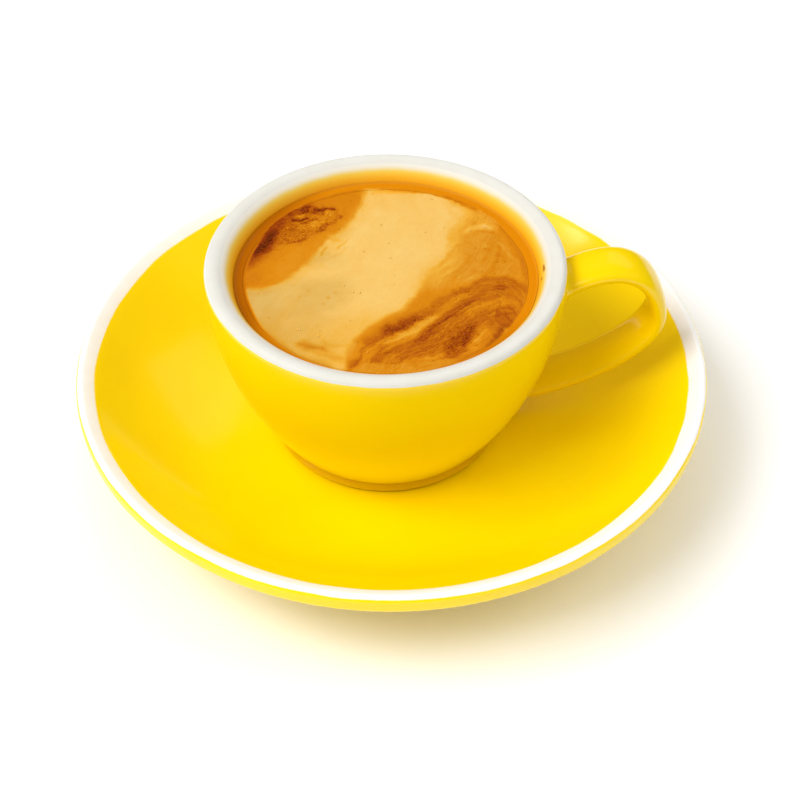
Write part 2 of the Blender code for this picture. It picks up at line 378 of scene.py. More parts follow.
def makeGlaze(piece, setup):
    finish = Finish(piece + "Glaze")
    yellowTone, deepTone, whiteTone, shadeTone = setup[piece]
    cloud = finish.noise(setup["cloud"], 4)
    fine = finish.noise(setup["fray"], 3)
    yellow = finish.blend(finish.spread(cloud, 0.35, 0.7), yellowTone, deepTone)
    # Painted bounce light towards the bowl's bottom, then painted shade on the foot ring
    yellow = finish.blend(finish.attribute("low"), yellow, setup["paintedBounceTone"])
    yellow = finish.blend(finish.attribute("foot"), yellow, setup["paintedFootShadeTone"])
    mottle = finish.noise(setup["whiteMottle"], 4)
    white = finish.blend(finish.spread(mottle, 0.35, 0.7), whiteTone, shadeTone)
    rim = finish.spread(finish.attribute("rim") + (fine - 0.5) * 0.5, -0.5, 0.5)
    film = finish.attribute("film")
    # Ragged depth down the inside wall, for its colour ramp of thicker glaze and painted bounce light from
    # the coffee
    raggedWallDepth = film + (finish.noise(setup["wallDepthFray"], 4) - 0.5) * 0.12
    wall = finish.ramp(setup["wall"], raggedWallDepth)
    for centre, squeeze in setup["drips"]:
        off = finish.vector("SUBTRACT", {0: finish.place(), 1: centre})
        away = finish.vector("LENGTH", {0: finish.vector("MULTIPLY", {0: off, 1: squeeze})}, 1)
        ragged = away + (finish.noise(setup["dripEdge"]) - 0.5) * 0.8
        wall = finish.blend(finish.spread(ragged, 0.5, 1.1, 0.9, 0), wall, setup["dripColour"])
    waves = finish.bump(finish.noise(setup["wave"], 2), 0.25, setup["waveDepth"])
    grain = finish.bump(finish.noise(setup["grain"], 3), rim * 0.35 + 0.02, setup["grainDepth"], waves)
    roughness = rim * (setup["whiteRoughness"] - setup["glazeRoughness"]) + setup["glazeRoughness"]
    return finish.set({
        "Base Color": finish.blend(finish.spread(film, 0, 0.04), finish.blend(rim, yellow, white), wall),
        "Roughness": roughness + (cloud - 0.5) * setup["cloudyRoughness"],
        "Normal": grain,
        "Specular IOR Level": setup["specular"],
    })


cupGlaze = makeGlaze("cup", glazeSetup)
saucerGlaze = makeGlaze("saucer", glazeSetup)


# Saucer

saucer = {
    "radius": 58.6, "seatRadius": 23.5, "seatHeight": 5.6, "flatRadius": 12,
    "wallRadius": 55.3, "wallHeight": 19.7, "wallPower": 2.2, "lipSlope": 33.6,
    "lipTop": 1, "lipUnder": 1.45, "lipSide": 1.3,
    "whiteEnd": 45, "whiteFade": 0.25,  # angle on the lip where the white ends, and how softly it does
    "floorThickness": 3.7, "footRadius": 32, "footWidth": 2.4, "footRound": 0.5, "recess": 1.9,
    "turns": 288, "wallSteps": 40, "lipTopSteps": 10, "lipUnderSteps": 8, "underSteps": 24,
}


def saucerTop(radius):
    share = max(radius - saucer["seatRadius"], 0) / (saucer["wallRadius"] - saucer["seatRadius"])
    rise = saucer["wallHeight"] - saucer["seatHeight"]
    return saucer["seatHeight"] + rise * share ** saucer["wallPower"]


def footRing(setup, top):
    # From the wall down a ring's outer edge, under it and up to the recess, with rounded corners
    outer, roundOff, recess = setup["footRadius"], setup["footRound"], setup["recess"]
    inner = outer - setup["footWidth"]
    reach = (roundOff * 0.9, roundOff)
    steps = [top]
    steps += arc((outer + roundOff * 0.1, roundOff), reach, 0, -math.pi / 2, 4)
    steps += arc((inner - roundOff * 0.1, roundOff), reach, -math.pi / 2, -math.pi, 4)
    steps += [(inner - recess, recess), (0, recess)]
    return steps


def makeSaucer(setup):
    slope = math.radians(setup["lipSlope"])
    topRadius = setup["radius"] - setup["lipTop"]
    topHeight = (setup["wallHeight"] + (topRadius - setup["wallRadius"]) * math.tan(slope)
                 - setup["lipTop"] / math.cos(slope))
    underCentre = (setup["radius"] - setup["lipUnder"], topHeight - setup["lipSide"])
    profile = [(0, setup["seatHeight"]), (setup["flatRadius"], setup["seatHeight"])]
    wallRadii = np.linspace(setup["seatRadius"] - 3, setup["wallRadius"], setup["wallSteps"])
    profile += [(radius, saucerTop(radius)) for radius in wallRadii]
    lipStart = len(profile)
    lipSteps = setup["lipTopSteps"]
    profile += arc((topRadius, topHeight), (setup["lipTop"],) * 2, math.pi / 2 + slope, 0, lipSteps)
    profile += arc(underCentre, (setup["lipUnder"],) * 2, 0, slope - math.pi / 2, setup["lipUnderSteps"])
    lipRadius, lipHeight = profile[-1]
    lipThickness = saucerTop(lipRadius) - lipHeight
    ringTop = setup["footRadius"] + 2 * setup["footRound"]
    for radius in np.linspace(lipRadius, ringTop, setup["underSteps"])[1:]:
        share = (lipRadius - radius) / (lipRadius - ringTop)
        thickness = lipThickness + (setup["floorThickness"] - lipThickness) * share
        profile.append((radius, saucerTop(radius) - thickness))
    profile += footRing(setup, profile.pop())
    points, faces = ringBody(profile, setup["turns"])
    run, lengths = spreadRuns(profile, setup["turns"]), runAlong(profile)
    whiteFrom = lengths[lipStart - 1]
    bend = (math.pi / 2 + slope - math.radians(setup["whiteEnd"])) / (math.pi / 2 + slope)
    whiteTo = lengths[lipStart] + bend * (lengths[lipStart + lipSteps] - lengths[lipStart])
    turnAngle = np.arctan2(points[:, 1], points[:, 0])
    wobble = latticeNoise(turnAngle * 12, turnAngle * 0, 1, 5) * 0.12
    fade = setup["whiteFade"]
    rim = np.minimum((run - whiteFrom + wobble) / fade, (whiteTo - run + wobble) / fade)
    attributes = {"rim": np.clip(rim, -4, 4), "film": rim * 0}
    piece = makePiece("saucerGlazed", points, faces, saucerGlaze, attributes)
    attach(piece, "root")
    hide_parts("saucer")


makeSaucer(saucer)
print("saucer made")


# Cup: bowl and handle

cup = {
    "shift": (-1, 0, 5.9),  # where the foot's middle stands
    "radius": 32.2, "height": 37.7, "waistDrop": 3,
    "bowlFootRadius": 21.5, "bowlFootHeight": 2.1,
    "crestRadius": 31, "outerDrop": 1.4, "mouthRadius": 26.9, "mouthDrop": 5.4,
    "whiteOutside": 0.8, "whiteFade": 0.15, "filmFrom": 0.5, "filmDepth": 3.1,
    "footRadius": 21.1, "footWaist": 20.9, "footWidth": 2.9, "footRound": 0.5, "recess": 1.6,
    "floor": 5.2, "flatRadius": 12, "fallPower": 3, "roundPower": 0.6,
    "footShade": (2.6, 1.9), "paintedBounceHeights": (24, 8),  # heights over which the painted shade on the foot ring and the painted bounce light on the lower bowl fade in, going down
    "turns": 288, "insideSteps": 28, "innerLipSteps": 30, "outerLipSteps": 14, "outsideSteps": 44,
}
cupTop = cup["height"]
mouthHeight = cup["height"] - cup["mouthDrop"]


def bowlRadius(height):
    waist = cup["height"] - cup["waistDrop"]
    fall = np.maximum(waist - height, 0) / (waist - cup["bowlFootHeight"])
    return cup["radius"] - (cup["radius"] - cup["bowlFootRadius"]) * fall**2


def insideRadius(height):
    if height > mouthHeight:
        share = (height - mouthHeight) / cup["mouthDrop"]
        return cup["crestRadius"] - (cup["crestRadius"] - cup["mouthRadius"]) * math.sqrt(1 - share**2)
    fall = (mouthHeight - height) / (mouthHeight - cup["floor"])
    spread = (1 - fall ** cup["fallPower"]) ** cup["roundPower"]
    return cup["flatRadius"] + (cup["mouthRadius"] - cup["flatRadius"]) * spread


def makeBowl(setup):
    profile = [(0, setup["floor"])]
    for share in np.linspace(0, 1, setup["insideSteps"])[:-1] ** 1.6:  # closer together near the floor
        height = setup["floor"] + (mouthHeight - setup["floor"]) * share
        profile.append((insideRadius(height), height))
    reach = (setup["crestRadius"] - setup["mouthRadius"], setup["mouthDrop"])
    innerArc = arc((setup["crestRadius"], mouthHeight), reach, math.pi, math.pi / 2, setup["innerLipSteps"])
    outerCentre = (setup["crestRadius"], cupTop - setup["outerDrop"])
    outerReach = (setup["radius"] - setup["crestRadius"], setup["outerDrop"])
    outerArc = arc(outerCentre, outerReach, math.pi / 2, 0, setup["outerLipSteps"])[1:]
    profile += innerArc + outerArc
    crest, whiteEnd = setup["crestRadius"], cupTop - setup["whiteOutside"]
    inner = runAt(profile, lambda point: point[1] > cupTop - 0.01)
    whiteTo = runAt(profile, lambda point: point[0] > crest + 0.01 and point[1] < whiteEnd)
    waist = setup["height"] - setup["waistDrop"]
    heights = np.linspace(waist, setup["bowlFootHeight"], setup["outsideSteps"])
    profile += [(float(bowlRadius(height)), height) for height in heights]
    profile += footRing(setup, (setup["footWaist"], setup["bowlFootHeight"] - setup["footRound"]))
    points, faces = ringBody(profile, setup["turns"])
    points, run = points + np.array(setup["shift"]), spreadRuns(profile, setup["turns"])
    turnAngle = np.arctan2(points[:, 1], points[:, 0])
    wobble = latticeNoise(turnAngle * 14, turnAngle * 0, 1, 9) * 0.1
    rim = (whiteTo - run + wobble * 0.6) / setup["whiteFade"]
    down = setup["height"] - (points[:, 2] - setup["shift"][2])
    inside = np.where(run < inner, np.clip((down - setup["filmFrom"]) / setup["filmDepth"], 0, 1), 0)
    # Masks on the outside for the painted shade on the foot ring and the painted bounce light on the lower
    # bowl
    foot = np.where(run > inner, smooth(*setup["footShade"], setup["height"] - down), 0)
    low = np.where(run > inner, smooth(*setup["paintedBounceHeights"], setup["height"] - down), 0)
    attributes = {"rim": np.clip(rim, -4, 4), "film": inside, "foot": foot, "low": low}
    piece = makePiece("cupBowl", points, faces, cupGlaze, attributes)
    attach(piece, "root")
    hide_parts("cup")


makeBowl(cup)

handle = {
    "width": 9, "thickness": 3.3, "squareness": 2.5, "sides": 48, "steps": 72, "pathSteps": 200,
    "start": (30, 30), "startAngle": 35, "startPull": 19.7,
    "outermost": (49.9, 23.8), "upperPull": 3.4, "lowerPull": 7.8,
    "end": (22, 6), "endAngle": 3, "endPull": 12,
    "fillet": 1.7, "sunk": 0.7,
}


def handlePath(setup):
    # Centre line as (distance from the axis, height), finely sampled
    def bezier(first, pullA, pullB, last):
        t = np.linspace(0, 1, setup["pathSteps"])[:, None]
        rest = 1 - t
        return rest**3 * first + 3 * rest**2 * t * pullA + 3 * rest * t**2 * pullB + t**3 * last

    start, top, end = (np.array(setup[key]) for key in ("start", "outermost", "end"))
    startTurn, endTurn = math.radians(setup["startAngle"]), math.radians(setup["endAngle"])
    startPull = start + setup["startPull"] * np.array([math.cos(startTurn), math.sin(startTurn)])
    endPull = end + setup["endPull"] * np.array([math.cos(endTurn), math.sin(endTurn)])
    upper = bezier(start, startPull, top + np.array([0, setup["upperPull"]]), top)
    lower = bezier(top, top - np.array([0, setup["lowerPull"]]), endPull, end)
    return np.concatenate([upper, lower[1:]])


def bowlGap(points):
    # How far points stand off the bowl's outside, and the direction out of it
    radius = np.hypot(points[:, 0], points[:, 1])
    height = points[:, 2]
    waist = cup["height"] - cup["waistDrop"]
    span = waist - cup["bowlFootHeight"]
    lean = 2 * (cup["radius"] - cup["bowlFootRadius"]) * np.maximum(waist - height, 0) / span**2
    scale = 1 / np.sqrt(1 + lean**2)
    gap = (radius - bowlRadius(height)) * scale
    out = np.stack([points[:, 0] / radius * scale, points[:, 1] / radius * scale, -lean * scale], 1)
    return gap, out


def signedPower(value, power):
    return math.copysign(abs(value) ** power, value)


def makeHandle(setup):
    path = handlePath(setup)
    along = np.gradient(path, axis=0)
    along /= np.linalg.norm(along, axis=1)[:, None]
    outward = np.stack([-along[:, 1], along[:, 0]], 1)
    lines, power, fillet = [], 2 / setup["squareness"], setup["fillet"]
    width, thickness = setup["width"], setup["thickness"]
    turnIn = np.linspace(0, math.pi / 2, 9)
    joinGaps = [-setup["sunk"], -setup["sunk"] / 2] + list(fillet * (1 - np.cos(turnIn)))
    middle, whole = len(path) // 2, np.arange(len(path))
    for side in range(setup["sides"]):
        angle = math.tau * side / setup["sides"]
        wide, high = math.cos(angle), math.sin(angle)
        across = np.full(len(path), signedPower(wide, power) * width / 2)
        off = signedPower(high, power) * thickness / 2
        line = np.stack([path[:, 0] + outward[:, 0] * off, across, path[:, 1] + outward[:, 1] * off], 1)
        facing = np.array([signedPower(wide, 2 - power) / width, signedPower(high, 2 - power) / thickness])
        facing /= np.linalg.norm(facing)
        sideways = np.full(len(path), facing[0])
        normal = np.stack([outward[:, 0] * facing[1], sideways, outward[:, 1] * facing[1]], 1)
        gap = bowlGap(line)[0]
        # The line is cut where it has sunk into the wall at each end, and spaced closely round both joints
        first = np.interp(joinGaps, gap[:middle], np.arange(middle))
        last = len(path) - 1 - np.interp(joinGaps, gap[middle:][::-1], np.arange(len(path) - middle))
        between = np.linspace(first[-1], last[-1], setup["steps"])[1:-1]
        index = np.concatenate([first, between, last[::-1]])
        spots = np.stack([np.interp(index, whole, line[:, axis]) for axis in range(3)], 1)
        facings = np.stack([np.interp(index, whole, normal[:, axis]) for axis in range(3)], 1)
        gap, out = bowlGap(spots)
        flat = facings - (facings * out).sum(1)[:, None] * out
        flat /= np.linalg.norm(flat, axis=1)[:, None]
        close = np.clip(fillet - gap, 0, fillet)
        flare = fillet - np.sqrt(fillet**2 - close**2)
        moved = spots + flat * flare[:, None]
        newGap, out = bowlGap(moved)
        moved -= out * (newGap - gap)[:, None] * (flare > 0)[:, None]
        lines.append(moved)
    rings = np.stack(lines, 1)  # steps, sides, 3
    points = np.concatenate([[rings[0].mean(0)], rings.reshape(-1, 3), [rings[-1].mean(0)]])
    faces = ringFaces(len(rings), setup["sides"])
    corners = points[faces]
    if np.einsum("ij,ij->i", corners[:, 0], np.cross(corners[:, 1], corners[:, 2])).sum() < 0:
        faces = faces[:, ::-1]
    points = points + np.array(cup["shift"])
    piece = makePiece("cupHandle", points, faces, cupGlaze, {"rim": np.full(len(points), -4)})
    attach(piece, "root")
    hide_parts("cup")


makeHandle(handle)
print("cup made")


# Drink: the crema's swirls are painted as fields over the surface, with x to the right and y away,
# in mm from the cup's axis

drink = {
    "levelDrop": 3.8, "cremaRadius": 25.4, "cremaWander": 0.35, "cremaThickness": 2, "gap": 0.3,
    "meniscus": 0.6, "creep": 0.16,  # how high the drink stands at the wall, and how fast that falls off
    "cells": 300, "turns": 360, "ringSteps": 18,
    "wander": [(0.5, 5), (0.3, 1.2), (0.12, 0.45)],  # how far every edge frays, and over what length
    "lineSpacing": 0.5, "wideSpacing": 0.8,  # mm between the points of a stroke, and of an edge or outline
}
level = cup["height"] - drink["levelDrop"]

# The edges between the foam's tones, which the streaks follow
amberEdge = [
    (-27, -2.6), (-22.5, -2.6), (-20, -2), (-17.5, -0.2), (-15.5, 2), (-14, 4), (-12.5, 6), (-11, 8),
    (-10, 10.5), (-8.5, 12.5), (-7, 14.5), (-5.5, 16.5), (-4.3, 19), (-3.2, 21), (-2.6, 23), (-2.2, 25.5),
    (-2, 28),
]
paleEdge = [
    (13, 26), (13.8, 22), (15.5, 17), (15, 14), (13.1, 10.2), (12.5, 7.6), (11.2, 5), (9, 2.6), (7.5, 0),
    (6.6, -3), (5.5, -6), (4, -8), (2.5, -10), (0.5, -11), (-2, -13), (-3.5, -14.5), (-5, -16.5),
    (-6, -18.5), (-7, -21), (-8, -24), (-9, -28),
]
swirlLine = [
    (-7, -22.5), (-5, -19), (-3, -16.6), (0, -15), (2.5, -13.8), (5, -12.2), (7, -10.6), (10, -7.5),
    (12.5, -5.3), (15, -4), (17, -2.4), (19, -2), (21, -2.3), (22.5, -3), (24, -4.8), (25.2, -7), (26, -10),
]
orangeEdge = [
    (9, 26), (12.5, 22.9), (15.5, 20.4), (18, 17.9), (20.2, 15.2), (21.8, 12.4), (22.8, 9.2), (23.4, 5.6),
    (23.8, 2), (24.3, -1.5), (25.2, -5),
]


def cremaEdge(x, y):
    angle = np.arctan2(y, x)
    u, v = np.cos(angle) * 10, np.sin(angle) * 10
    return drink["cremaRadius"] + drink["cremaWander"] * layeredNoise(u, v, 3.5, 13, 3)


def smoothLine(knots, spacing):
    # Points along a Catmull-Rom curve through the knots
    knots = np.asarray(knots, float)
    padded = np.concatenate([2 * knots[:1] - knots[1:2], knots, 2 * knots[-1:] - knots[-2:-1]])
    line = [knots[:1]]
    for a, b, c, d in zip(padded, padded[1:], padded[2:], padded[3:]):
        steps = max(int(math.dist(b, c) / spacing), 1)
        t = (np.arange(steps) + 1)[:, None] / steps
        curve = 2 * b + (c - a) * t + (2 * a - 5 * b + 4 * c - d) * t**2
        line.append(0.5 * (curve + (3 * b - a - 3 * c + d) * t**3))
    return np.concatenate(line)


def lineDistance(x, y, line):
    # Distance to a line, which side of it (+1 on its left), and how far along it as a share
    best = np.full(x.shape, np.inf)
    side = np.ones(x.shape)
    share = np.zeros(x.shape)
    lengths = runAlong(line)
    for index, (a, b) in enumerate(zip(line, line[1:])):
        dx, dy = b - a
        size = dx * dx + dy * dy
        t = np.clip(((x - a[0]) * dx + (y - a[1]) * dy) / size, 0, 1)
        px, py = x - a[0] - t * dx, y - a[1] - t * dy
        distance = np.hypot(px, py)
        nearer = distance < best
        best = np.where(nearer, distance, best)
        side = np.where(nearer, np.sign(dx * py - dy * px), side)
        share = np.where(nearer, (lengths[index] + t * math.sqrt(size)) / lengths[-1], share)
    return best, side, share


def streaks(across, along, size, stretch, seed, layers=3):
    return layeredNoise(across, along / stretch, size, seed, layers)


class Paint:
    def __init__(self, x, y):
        self.x, self.y = x, y
        for step, (amount, size) in enumerate(drink["wander"]):
            self.x = self.x + amount * latticeNoise(x, y, size, 1 + step)
            self.y = self.y + amount * latticeNoise(x, y, size, 4 + step)
        self.fields = {key: np.zeros(x.shape) for key in ("tone", "froth", "clear")}
        # A scale on the colour: above 1 it is painted light, below 1 painted shade
        self.fields["light"] = np.ones(x.shape)
        self.radius = np.hypot(x, y)
        self.angle = np.arctan2(y, x)
        self.foamEdge = cremaEdge(x, y)
        self.past, self.pastAlong = self.follow(paleEdge)
        self.lobe, self.lobeAlong = self.follow(amberEdge)
        self.swirl, self.swirlAlong = self.follow(swirlLine)
        self.wisps = streaks(self.past, self.pastAlong, 1.6, 7, 71, 4)
        self.lobeWisps = streaks(self.lobe, self.lobeAlong, 1.1, 6, 81, 4)
        self.swirlWisps = streaks(self.swirl, self.swirlAlong, 1.3, 9, 91, 4)
        self.under = smooth(-0.4, 0.8, -self.swirl) * smooth(-0.5, 1.5, self.past)  # below the swirl's top

    def follow(self, knots):
        # Signed distance from a line (positive on its left) and the length along it, both in mm
        line = smoothLine(knots, drink["wideSpacing"])
        gap, side, share = lineDistance(self.x, self.y, line)
        return gap * side, share * np.hypot(*np.diff(line, axis=0).T).sum()

    def lay(self, mask, **values):
        for key, value in values.items():
            self.fields[key] = self.fields[key] * (1 - mask) + value * mask

    def brush(self, knots, width, soft, amount=1, taper=0.3, **values):
        # A line that fades out over soft at both sides and is drawn to a point over taper at its ends
        line = smoothLine(knots, drink["lineSpacing"])
        reach = width / 2 + soft
        near = ((self.x > line[:, 0].min() - reach) & (self.x < line[:, 0].max() + reach)
                & (self.y > line[:, 1].min() - reach) & (self.y < line[:, 1].max() + reach))
        mask = np.zeros(self.x.shape)
        distance, _, share = lineDistance(self.x[near], self.y[near], line)
        ends = smooth(0, taper, share) * smooth(0, taper, 1 - share)
        half = width / 2 * (0.25 + 0.75 * ends)
        mask[near] = (1 - smooth(half - soft / 2, half + soft / 2, distance)) * ends
        self.lay(mask * amount, **values)

    def patch(self, knots, soft, amount=1, **values):
        # The inside of a closed outline
        line = smoothLine([*knots, knots[0]], drink["wideSpacing"])
        distance, _, _ = lineDistance(self.x, self.y, line)
        inside = np.zeros(self.x.shape, bool)
        for a, b in zip(line, line[1:]):
            crosses = (a[1] > self.y) != (b[1] > self.y)
            if a[1] != b[1]:
                inside ^= crosses & (self.x < (b[0] - a[0]) * (self.y - a[1]) / (b[1] - a[1]) + a[0])
        mask = smooth(-soft / 2, soft / 2, np.where(inside, distance, -distance))
        self.lay(mask * amount, **values)

    def dab(self, x, y, radius, soft, amount=1, **values):
        away = np.hypot(self.x - x, self.y - y)
        self.lay((1 - smooth(radius - soft / 2, radius + soft / 2, away)) * amount, **values)


def paintMiddle(paint):
    # Pale, with painted shade over the left side from the cup's left wall; right of the pale band it turns
    # golden, then orange
    lay, x, y, past, wisps = paint.lay, paint.x, paint.y, paint.past, paint.wisps
    clouds = layeredNoise(x - y * 0.35, y * 2.2, 9, 25, 4)
    lay(np.ones(x.shape), tone=0.05)
    lay(smooth(4, 22, -x) * (1 - smooth(-2, 4, y)), light=0.88, tone=0.07)
    lay(smooth(0.1, 0.9, clouds + 0.35) * smooth(2, 16, -x), light=0.85, tone=0.10)
    lay(smooth(15, 23, -x) * (1 - smooth(-4, 0, y)) * 0.8, light=0.78, tone=0.1)
    paint.dab(-10, -4, 3, 6, 0.7 + 0.3 * wisps, light=0.8, tone=0.12)
    lay(smooth(6, 16, -y) * (1 - smooth(12, 20, x)), tone=0.17)
    lay(smooth(15, 25, y) * (1 - smooth(8, 16, x)) * 0.7, tone=0.14)
    frayed = past + 1.6 * wisps * smooth(-8, 4, y) + 0.5 * wisps
    for start, full, tone in ((-3.2, 0.4, 0.17), (-1, 1, 0.26), (0.4, 4.2, 0.42), (3.5, 8, 0.48)):
        lay(smooth(start, full, frayed), tone=tone)
    lay(smooth(-1.2, 0.8, past + 0.5 * wisps) * smooth(0, 7, -y), tone=0.52)
    lay(smooth(-0.5, 1.2, past + 0.4 * wisps) * smooth(14, 18, -y), tone=0.66)


def paintAmberLobe(paint):
    lay, brush, x, y = paint.lay, paint.brush, paint.x, paint.y
    inside = paint.lobe + 0.45 * paint.lobeWisps
    high = smooth(8, 22, y)
    lay(smooth(-3, 0, paint.lobe + 1.2 * paint.lobeWisps) * (1 - high * 0.5), tone=0.18)
    lay(smooth(-0.6, 0.9, inside), tone=0.48, light=1)
    lay(smooth(0, 2, inside) * high, tone=0.56)
    lay(smooth(0, 2, inside) * smooth(17, 24, -x), tone=0.57)
    brush([(-13.2, 4.2), (-11.5, 6.5), (-10.4, 9), (-9.3, 11), (-7.6, 13.4)], 1.5, 1.4, 0.9, tone=0.12)
    brush([(-11.9, 5), (-10.9, 7.3), (-9.8, 9.8)], 0.4, 0.5, 0.8, tone=0.4)
    brush([(-9.3, 7.5), (-8.2, 9), (-6.3, 12)], 0.35, 0.5, 0.6, tone=0.42)
    brush([(-10.8, 4.2), (-8.4, 7), (-6.6, 10)], 0.5, 0.8, 0.5, tone=0.28)


def paintSmear(paint):
    # Dark smear and froth inside the amber lobe
    brush, patch, x, y = paint.brush, paint.patch, paint.x, paint.y
    broken = smooth(-0.25, 0.25, layeredNoise(x, y, 1.5, 62, 2))
    # These two patches lie along the left wall: the crema's own brown, deepened there with painted shade
    # under the wall
    patch([(-26, 3), (-22.5, 5), (-20.5, 8.5), (-17.5, 11.5), (-13, 14.5), (-10.5, 17.5), (-13, 21),
           (-22, 20)], 4.5, tone=0.64, froth=0.35)
    patch([(-26.5, 2.5), (-23, 4.5), (-20.5, 9.5), (-17.5, 13.5), (-14.5, 17), (-13.5, 22), (-22, 21)],
          3, 0.9, tone=0.78, froth=0.3)
    brush([(-24.8, 3.5), (-23.5, 6.5), (-22, 9.5), (-20, 13), (-17.5, 16), (-16, 18.5), (-14.5, 21)],
          3, 2.6, tone=0.87, froth=0.35)
    brush([(-24, 5.5), (-22.4, 9.3), (-20.2, 13), (-18, 15.8)], 1.5, 1.6, 0.9, tone=0.96, froth=0.5)
    patch([(-19.5, 10.8), (-15, 11), (-12, 13), (-9, 15.5), (-7.5, 18), (-8, 19.8), (-12, 20.5),
           (-16.5, 18.5), (-18, 16), (-19.5, 13)], 2.2, 0.8, tone=0.64, froth=0.9)
    patch([(-15, 14), (-11.5, 14.6), (-9.6, 16.6), (-11, 18), (-14.4, 17)], 1.6, 0.7, tone=0.5, froth=0.8)
    for knots, width, tone in (
        ([(-20, 10.3), (-17.5, 10.5), (-15, 11.2), (-13, 12.2), (-11.5, 13.6), (-10.5, 14.6), (-9, 15.8),
          (-7.9, 17.3), (-7.6, 19)], 0.55, 0.82),
        ([(-17, 20.8), (-15, 20.6), (-13, 20.6), (-11.5, 19.6), (-9.5, 19.6), (-8, 19.3)], 0.9, 0.92),
        ([(-18, 19.2), (-15.5, 19.8), (-13.4, 19.6), (-11.8, 18.6), (-10, 18.4)], 0.8, 0.9),
        ([(-16.6, 18), (-16, 17.3), (-14.3, 17.2), (-13.5, 17.6)], 0.7, 0.92),
        ([(-14.8, 16.2), (-12.9, 16.4), (-11.6, 17.4)], 0.5, 0.8),
        ([(-13.5, 20.5), (-14.5, 19.3), (-13.3, 18.9)], 0.5, 0.88),
    ):
        brush(knots, width, 0.9, 0.25 + 0.75 * broken, 0.1, tone=tone, froth=1)
    for spot in ((-15.5, 21.8, 1.2), (-9.5, 18.5, 0.9), (-12.5, 15.5, 0.8), (-14.7, 18.5, 0.6),
                 (-9, 11, 0.7)):
        paint.dab(*spot, 1, 0.5, tone=0.36, froth=0.8)
    smear = 0.5 + 0.5 * paint.lobeWisps
    paint.fields["tone"] += 0.09 * smear * smooth(2, 6, paint.lobe) * smooth(4, 10, y) * smooth(8, 16, -x)


def paintBack(paint):
    # Back edge and the top of the orange side, lifted with painted light
    lay, brush, x, y = paint.lay, paint.brush, paint.x, paint.y
    lay(smooth(23.2, 25, y) * smooth(-3, 1, x) * 0.9, tone=0.36, light=1.1)
    ragged = paint.radius + 0.9 * layeredNoise(x, y, 2.4, 47, 3)
    lay(smooth(24.7, 25.6, ragged) * smooth(-4, 0, x) * smooth(4, 12, y), tone=0.5, light=1.06)
    brush([(4, 24.4), (8, 24.4), (13, 23.6)], 1.4, 1.2, 0.9, tone=0.5, light=1.06)
    paint.dab(14, 21, 1.2, 1.2, 0.7, tone=0.25, froth=1)
    brush([(11.5, 24.4), (14, 23), (16, 21.5), (19, 18.5), (21, 16), (22.5, 13.5), (23.2, 11)], 2.4, 1.6,
          taper=0.1, tone=0.58, light=1.02)
    brush([(12, 24), (16, 21.2), (19, 18.3), (21, 15.6), (22.7, 12)], 0.6, 0.6, 0.7, 0.15,
          tone=0.68, froth=0.4)
    paint.patch([(16.5, 12.6), (17, 17), (19, 18), (21.5, 14.5), (22.3, 12.3), (19.5, 13.4)], 1.6, 0.8,
                tone=0.36, froth=0.5)


def paintTanLobe(paint):
    # Right of the middle
    brush = paint.brush
    paint.patch([(13.5, 5), (16, 10), (18, 12.2), (20.5, 12.2), (22.2, 10), (23.6, 5), (23.4, -1), (17, -1),
                 (12, -1), (12.5, 2)], 3.5, 0.65, tone=0.45, light=0.94, froth=0.25)
    brush([(14.4, 10.2), (16, 12.3), (18, 12.9), (20, 12.8), (22, 11.8)], 1.1, 1, 0.85, tone=0.16, froth=0.3)
    brush([(12.8, 9.4), (15, 13), (17.4, 14.6)], 0.7, 0.9, 0.5, tone=0.3)
    brush([(16.2, 11.2), (18, 11.6), (20, 11.4), (21.6, 9.4)], 0.5, 0.6, 0.7, tone=0.56, froth=0.5)
    brush([(19.6, 10.2), (21.3, 7.8), (22.4, 5), (23.1, 3.4), (24, 2)], 0.5, 0.7, 0.5, tone=0.3)
    brush([(11.2, 3.5), (12.6, 6.8), (14.5, 9)], 0.6, 0.9, 0.5, tone=0.5)
    brush([(9.6, 1), (11, 4.6), (12.4, 7.6)], 0.6, 0.9, 0.45, tone=0.48)
    for spot in ((18, 6, 0.5), (17.8, 3.5, 0.4), (14.5, 5, 0.3), (20.5, 4.5, 0.3), (16, 0.5, 0.4)):
        paint.dab(*spot, 1.2, 0.4, tone=0.62, froth=0.3)
    hairs = streaks(paint.past, paint.pastAlong, 0.6, 10, 75, 3)
    where = smooth(-3, 2, paint.past) * smooth(-6, -1, paint.y) * (1 - smooth(22, 24, paint.radius))
    paint.fields["tone"] += (0.09 * paint.wisps + 0.05 * hairs) * where


def paintRightEdge(paint):
    # Clear coffee along the right edge
    lay, brush = paint.lay, paint.brush
    beyond, beyondAlong = paint.follow(orangeEdge)
    rightRim = smooth(-0.5, 1, beyond + 0.5 * streaks(beyond, beyondAlong, 1.2, 6, 45))
    lay(rightRim, tone=0.58, froth=0.1, light=1)
    lay(smooth(0.4, 1.8, beyond) * smooth(-5, 4, paint.y), tone=0.57, clear=0.8, froth=0, light=1.03)
    brush([(15, 22.8), (18, 20.6), (20, 18.7), (22, 16), (24.1, 12.5)], 0.5, 0.5, 0.8, 0.15, tone=0.3)
    brush([(13, 22.9), (16.3, 20.3), (19, 17.5), (21, 14.6)], 0.5, 0.7, 0.6, 0.2, tone=0.66, froth=0.3)


